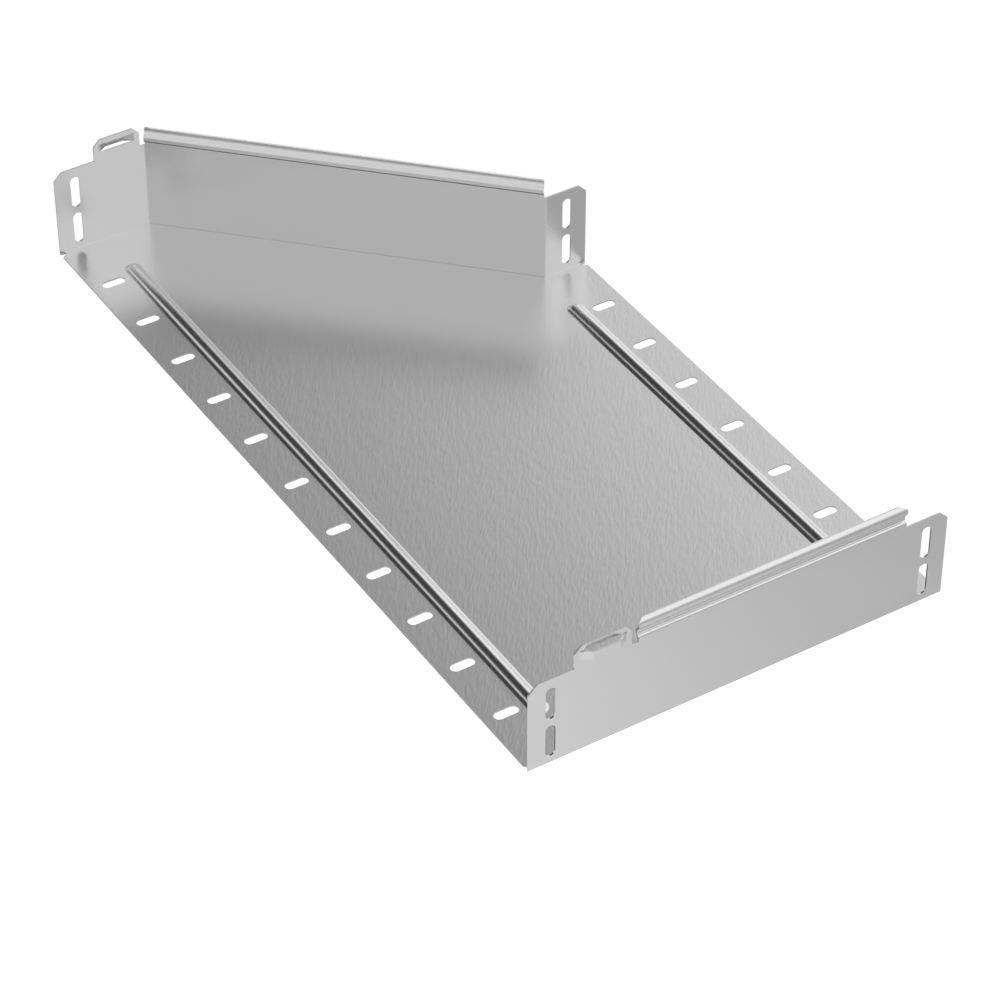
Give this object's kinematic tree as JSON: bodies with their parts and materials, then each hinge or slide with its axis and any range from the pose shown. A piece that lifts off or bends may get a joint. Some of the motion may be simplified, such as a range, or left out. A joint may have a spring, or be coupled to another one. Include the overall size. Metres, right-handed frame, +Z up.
{
  "type": "cable tray reducer",
  "caption": "One-sided cable tray reducer folded from galvanised sheet. It joins a wide tray to a narrower one, with slotted ends, rolled wall lips and floor ribs.",
  "frame": {"origin": "middle of the bounding box, on the underside of the floor", "axes": "+X along the tray from the wide end to the narrow end, +Y across it from the straight wall to the slanted wall, +Z up"},
  "size_m": [0.3032, 0.6154, 0.0835],
  "materials": {
    "galvanised_sheet": "bare galvanised steel, dull sheen"
  },
  "bodies": {
    "root": {"reducer_body": "galvanised_sheet"}
  },
  "joints": []
}
